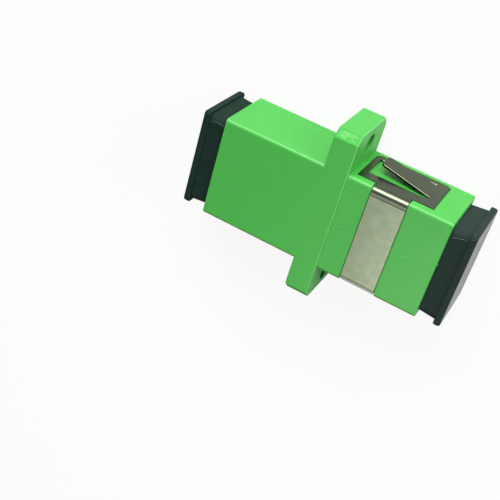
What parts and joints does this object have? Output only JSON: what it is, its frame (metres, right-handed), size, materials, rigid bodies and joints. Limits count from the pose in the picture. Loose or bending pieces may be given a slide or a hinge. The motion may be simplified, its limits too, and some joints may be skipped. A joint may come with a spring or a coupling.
{
  "type": "fibre adapter",
  "caption": "Flanged simplex push-pull fibre adapter: keyed sockets, split sleeve, latch arms, steel panel clip, screw ears and pull-out dust caps.",
  "frame": {"origin": "on the fibre's axis in the middle of the flange's thickness, which is also the middle of the split sleeve", "axes": "+X along the fibre towards the clip side, +Y across the ears, +Z through the wide face that carries the clip's band; the keyways open towards -Z, and the part lies on that flat face"},
  "size_m": [0.0346, 0.0222, 0.0094],
  "materials": {
    "housing_green": "moulded, satin",
    "latch_plastic": "moulded, plain",
    "sleeve_ceramic": "ground",
    "clip_steel": "rolled, mottled",
    "cap_black": "moulded, satin"
  },
  "bodies": {
    "adapter": {"flanged_housing": "housing_green", "clip_side_housing": "housing_green", "flanged_side_latch_holder": "latch_plastic", "clip_side_latch_holder": "latch_plastic", "split_sleeve": "sleeve_ceramic", "panel_clip": "clip_steel"},
    "flanged_side_cap": {"flanged_side_dust_cap": "cap_black"},
    "clip_side_cap": {"clip_side_dust_cap": "cap_black"}
  },
  "joints": [
    {"name": "flanged_side_cap_pull", "type": "slide", "parent": "adapter", "child": "flanged_side_cap", "axis": [-1, 0, 0], "range_m": [0, 0.014]},
    {"name": "clip_side_cap_pull", "type": "slide", "parent": "adapter", "child": "clip_side_cap", "axis": [1, 0, 0], "range_m": [0, 0.014]}
  ]
}
